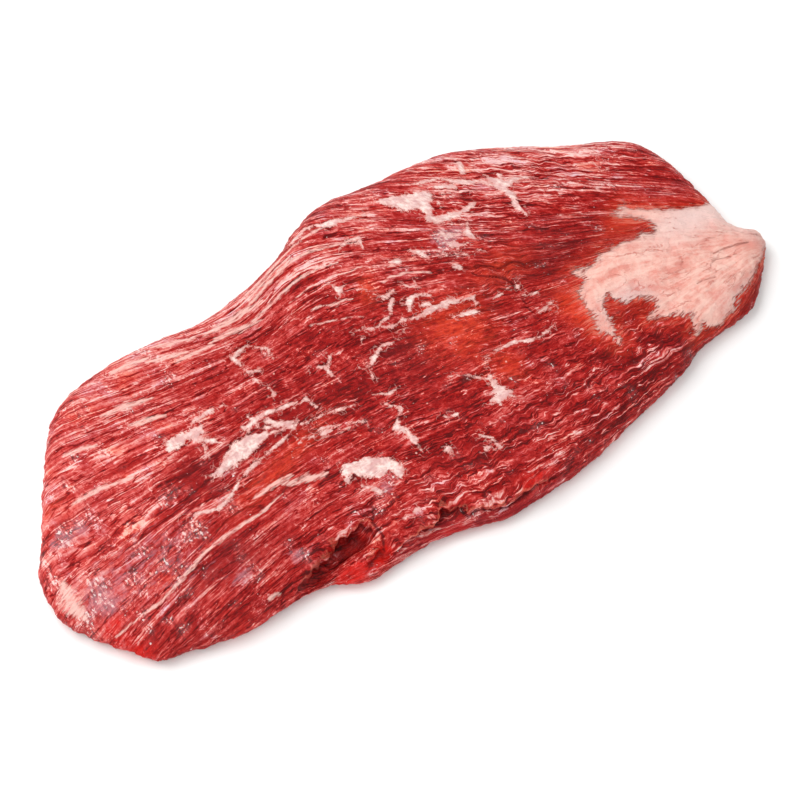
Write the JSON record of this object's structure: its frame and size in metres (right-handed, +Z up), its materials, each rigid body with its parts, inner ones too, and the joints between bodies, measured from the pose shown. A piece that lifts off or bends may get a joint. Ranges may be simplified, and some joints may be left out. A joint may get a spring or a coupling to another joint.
{
  "type": "wagyu flank steak",
  "caption": "Raw marbled flank steak, a long flat slab with rounded edges, a fat pad over its narrow end and a folded near edge, lying flat.",
  "frame": {"origin": "on the flat underside, under the middle of the steak's box", "axes": "+X along the steak to the end with the fat pad, +Y to the far side, +Z up through its thickness"},
  "size_m": [0.398, 0.198, 0.0216],
  "materials": {
    "raw_beef": "raw marbled beef, moist"
  },
  "bodies": {
    "root": {"flank_steak": "raw_beef"}
  },
  "joints": []
}
